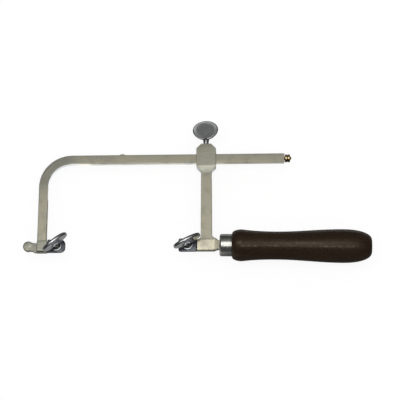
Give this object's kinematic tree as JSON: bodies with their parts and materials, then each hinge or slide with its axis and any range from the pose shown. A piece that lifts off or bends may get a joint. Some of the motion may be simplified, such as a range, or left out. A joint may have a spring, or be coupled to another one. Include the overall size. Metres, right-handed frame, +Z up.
{
  "type": "fret saw",
  "caption": "Adjustable fret saw frame: a bent flat-bar bow, a sliding arm with a wooden handle, and thumbscrew blade clamps.",
  "frame": {"origin": "middle of the saw's bounding box in plan, at the level of the lowest point of the handle, with the saw lying on its back", "axes": "+X along the blade line from the nose towards the handle's butt; +Y from the blade line towards the spine; +Z up, out of the face that carries the clamp screws"},
  "size_m": [0.3006, 0.1312, 0.0345],
  "materials": {
    "satin_nickel": "satin nickel plate over steel, warm grey, fine draw marks along the bars",
    "blued_steel": "blued steel, satin",
    "screw_nickel": "dull bright nickel plate",
    "brass": "turned, polished",
    "ferrule_steel": "polished, with fine turning marks",
    "dark_wood": "dark brown stain under satin lacquer"
  },
  "bodies": {
    "bow": {"bow": "satin_nickel"},
    "front_plate": {"front_clamp_plate": "blued_steel"},
    "front_screw": {"front_clamp_screw": "screw_nickel"},
    "slider": {"sliding_arm": "satin_nickel", "ferrule": "ferrule_steel", "handle": "dark_wood"},
    "rear_plate": {"rear_clamp_plate": "blued_steel"},
    "rear_screw": {"rear_clamp_screw": "screw_nickel"},
    "collar_screw": {"collar_screw": "screw_nickel"},
    "end_screw": {"end_stop_screw": "brass"}
  },
  "joints": [
    {"name": "arm_slide", "type": "slide", "parent": "bow", "child": "slider", "axis": [1, 0, 0], "range_m": [-0.062, 0.0598]},
    {"name": "front_plate_lift", "type": "slide", "parent": "bow", "child": "front_plate", "axis": [0, 0, 1], "range_m": [0, 0.002]},
    {"name": "front_screw_turn", "type": "hinge", "parent": "front_plate", "child": "front_screw", "pos_m": [-0.12148, -0.04927, 0.01445], "axis": [0, 0, 1], "range_deg": [0, 900.1]},
    {"name": "rear_plate_lift", "type": "slide", "parent": "slider", "child": "rear_plate", "axis": [0, 0, 1], "range_m": [0, 0.002]},
    {"name": "rear_screw_turn", "type": "hinge", "parent": "rear_plate", "child": "rear_screw", "pos_m": [-0.00848, -0.04927, 0.01445], "axis": [0, 0, 1], "range_deg": [0, 900.1]},
    {"name": "collar_screw_turn", "type": "hinge", "parent": "slider", "child": "collar_screw", "pos_m": [0.00741, 0.04263, 0.01445], "axis": [0, 1, 0], "range_deg": [0, 540]},
    {"name": "end_screw_turn", "type": "hinge", "parent": "bow", "child": "end_screw", "pos_m": [0.07581, 0.02973, 0.01445], "axis": [1, 0, 0], "range_deg": [0, 720]}
  ],
  "couplings": [
    {"joint": "front_screw_turn", "follows": "front_plate_lift", "rad_per_m": 7854},
    {"joint": "rear_screw_turn", "follows": "rear_plate_lift", "rad_per_m": 7854}
  ]
}
